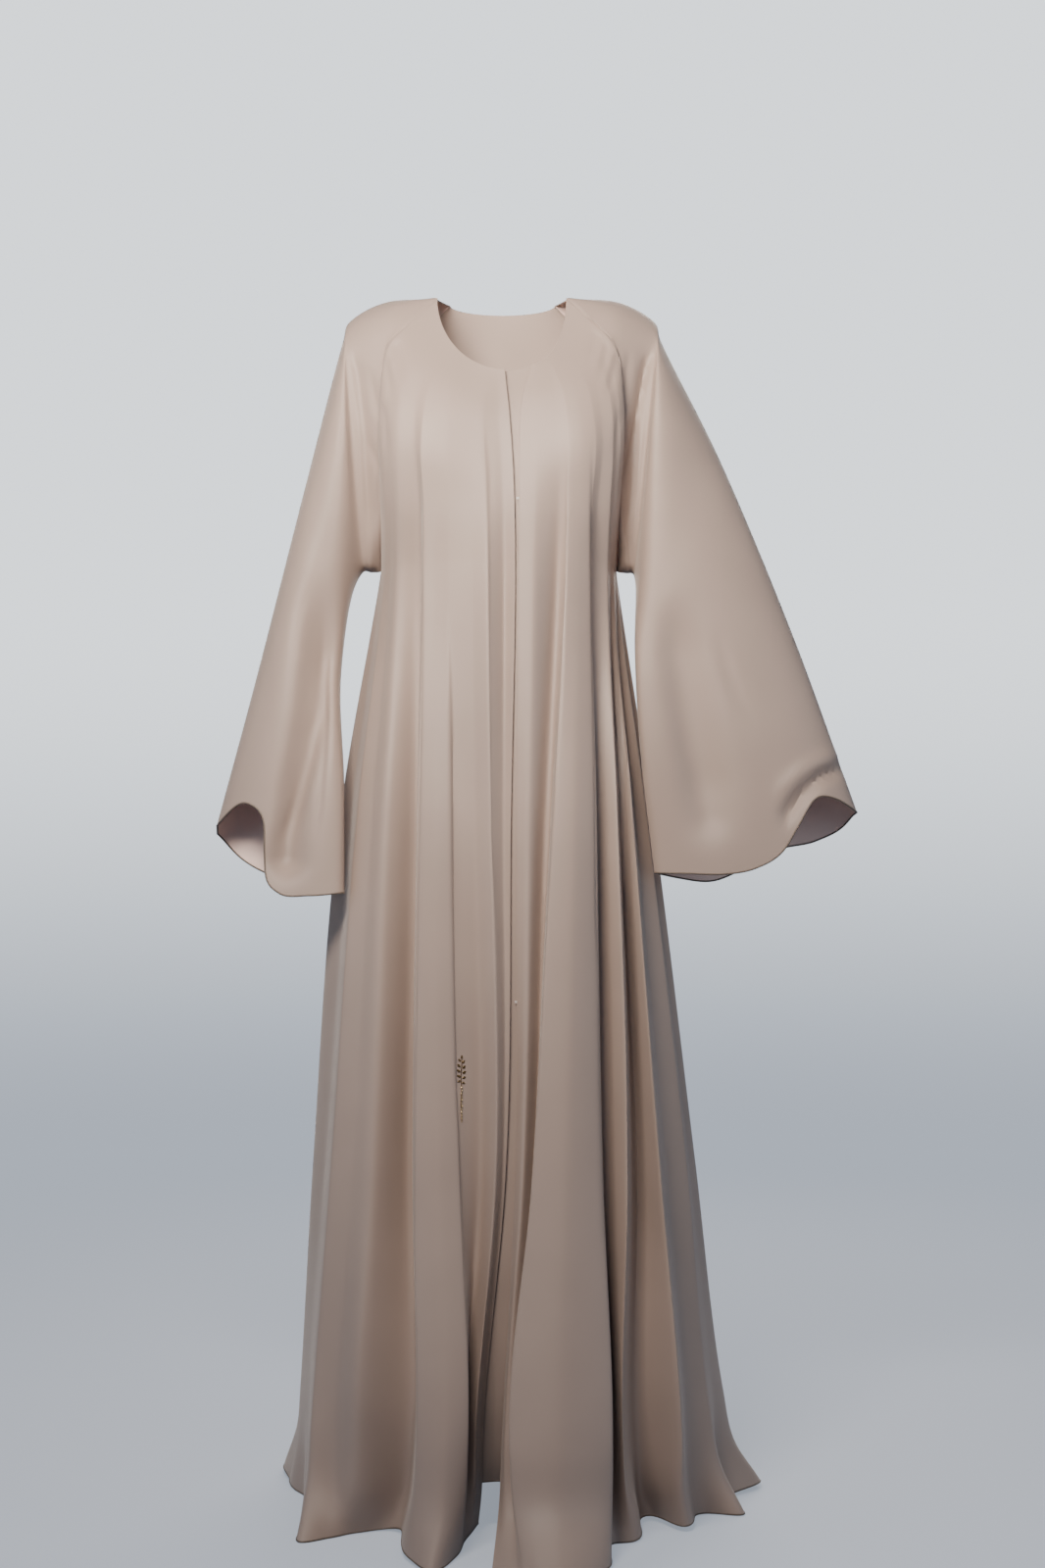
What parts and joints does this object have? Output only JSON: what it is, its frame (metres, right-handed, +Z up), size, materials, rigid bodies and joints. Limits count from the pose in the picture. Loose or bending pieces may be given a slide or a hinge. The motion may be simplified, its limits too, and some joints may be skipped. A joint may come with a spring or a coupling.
{
  "type": "abaya cloak",
  "caption": "Full-length open-front abaya with wide bell raglan sleeves, a hidden snap closure and deep hanging folds that flare at the hem.",
  "frame": {"origin": "middle of the neck base, level with the shoulders, where the wearer's neck and shoulders hold the garment", "axes": "+Z up, front towards -Y, the wearer's left towards +X; the hem lies 1.45 m below the origin"},
  "size_m": [0.7768, 0.6818, 1.4618],
  "materials": {
    "satin_crepe": "soft satin-backed crepe, beige-taupe",
    "snap_metal": "pale nickel press stud"
  },
  "bodies": {
    "root": {"front_left": "satin_crepe", "front_right": "satin_crepe", "back": "satin_crepe", "sleeve_left": "satin_crepe", "sleeve_right": "satin_crepe", "underlap": "satin_crepe", "snap_upper_stud": "snap_metal", "snap_upper_socket": "snap_metal", "snap_lower_stud": "snap_metal", "snap_lower_socket": "snap_metal"}
  },
  "joints": []
}
